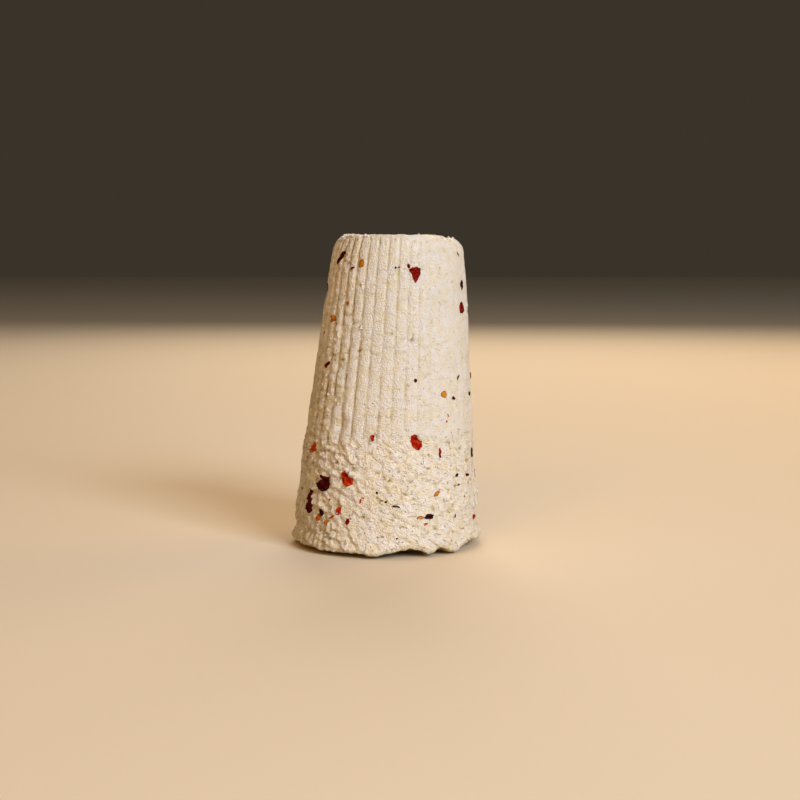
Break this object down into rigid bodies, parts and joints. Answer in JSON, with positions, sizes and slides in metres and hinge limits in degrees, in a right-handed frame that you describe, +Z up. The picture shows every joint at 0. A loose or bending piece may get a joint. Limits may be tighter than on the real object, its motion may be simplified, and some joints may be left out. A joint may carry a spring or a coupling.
{
  "type": "buffalo ricotta",
  "caption": "Tall truncated cone of fresh ricotta turned out of a ribbed draining basket, with chilli flakes and seeds in the curd and a ragged rim.",
  "frame": {"origin": "middle of the bounding box at the height of the face the cheese stands on", "axes": "+Z up from the wide end to the small end, -Y towards the side the picture shows, +X to that view's right"},
  "size_m": [0.0758, 0.075, 0.1218],
  "materials": {
    "curd": "moist matt fresh curd, ivory, slightly translucent",
    "chilli_skin": "dried chilli skin, dark red, waxy",
    "chilli_seed": "chilli seed, golden orange, waxy"
  },
  "bodies": {
    "root": {"ricotta": "curd"}
  },
  "joints": []
}
